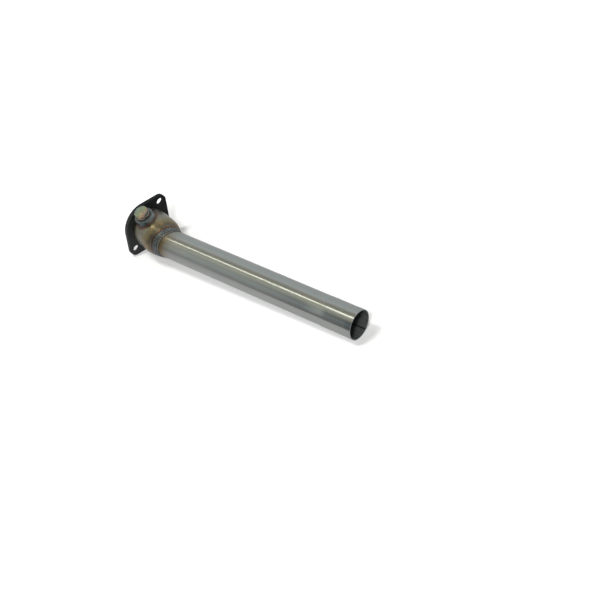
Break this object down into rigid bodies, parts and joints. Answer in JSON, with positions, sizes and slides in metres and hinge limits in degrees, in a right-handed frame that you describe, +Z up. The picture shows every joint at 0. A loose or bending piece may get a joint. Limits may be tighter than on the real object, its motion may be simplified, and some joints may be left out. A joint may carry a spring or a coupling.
{
  "type": "exhaust pipe",
  "caption": "Front exhaust pipe with an oval bolt-on flange, a domed body carrying a plugged sensor boss, and a straight plain-ended tube.",
  "frame": {"origin": "centre of the flange's outer face, the one that seals against the engine side", "axes": "+X along the straight tube in plan, from the flange to the free end; +Z up from the floor that the pipe rests on; +Y follows by the right-hand rule"},
  "size_m": [0.4842, 0.0924, 0.0973],
  "materials": {
    "black_flange": "semi-gloss",
    "tinted_steel": "satin, with a straw heat tint",
    "dark_weld": "rough",
    "satin_steel": "satin",
    "grey_weld": "rough",
    "boss_steel": "satin",
    "ring_metal": "satin",
    "plated_plug": "bright plating with a pale yellow tint"
  },
  "bodies": {
    "root": {"flange_plate": "black_flange", "domed_body": "tinted_steel", "flange_weld": "dark_weld", "straight_tube": "satin_steel", "tube_weld": "grey_weld", "sensor_boss": "boss_steel", "boss_weld": "dark_weld", "sealing_ring": "ring_metal", "hex_plug": "plated_plug"}
  },
  "joints": []
}
